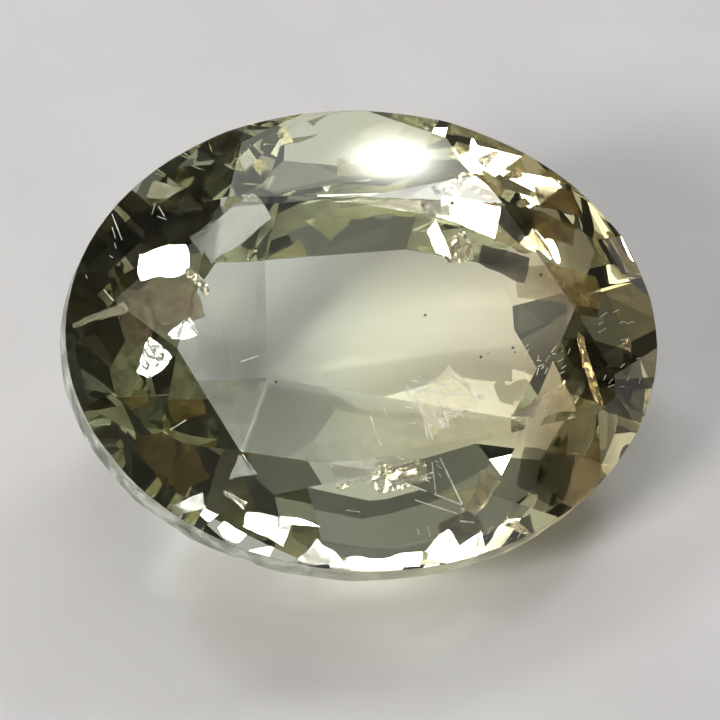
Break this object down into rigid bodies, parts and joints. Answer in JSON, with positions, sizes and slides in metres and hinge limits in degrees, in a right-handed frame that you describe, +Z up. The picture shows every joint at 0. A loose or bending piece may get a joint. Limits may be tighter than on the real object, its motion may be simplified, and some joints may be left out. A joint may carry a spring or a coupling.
{
  "type": "cut beryl crystal",
  "caption": "Loose oval faceted gemstone of clear grey-green to pale brown beryl, for setting or display; off-centre culet, ground and slightly chipped rim.",
  "frame": {"origin": "on the surface that the stone lies on, under the middle of its box", "axes": "+Z up, +X along the oval's length, -Y the side that the flat top leans to"},
  "size_m": [0.0136, 0.0104, 0.0075],
  "materials": {
    "beryl": "polished facets, ground rim"
  },
  "bodies": {
    "root": {"beryl_stone": "beryl"}
  },
  "joints": []
}
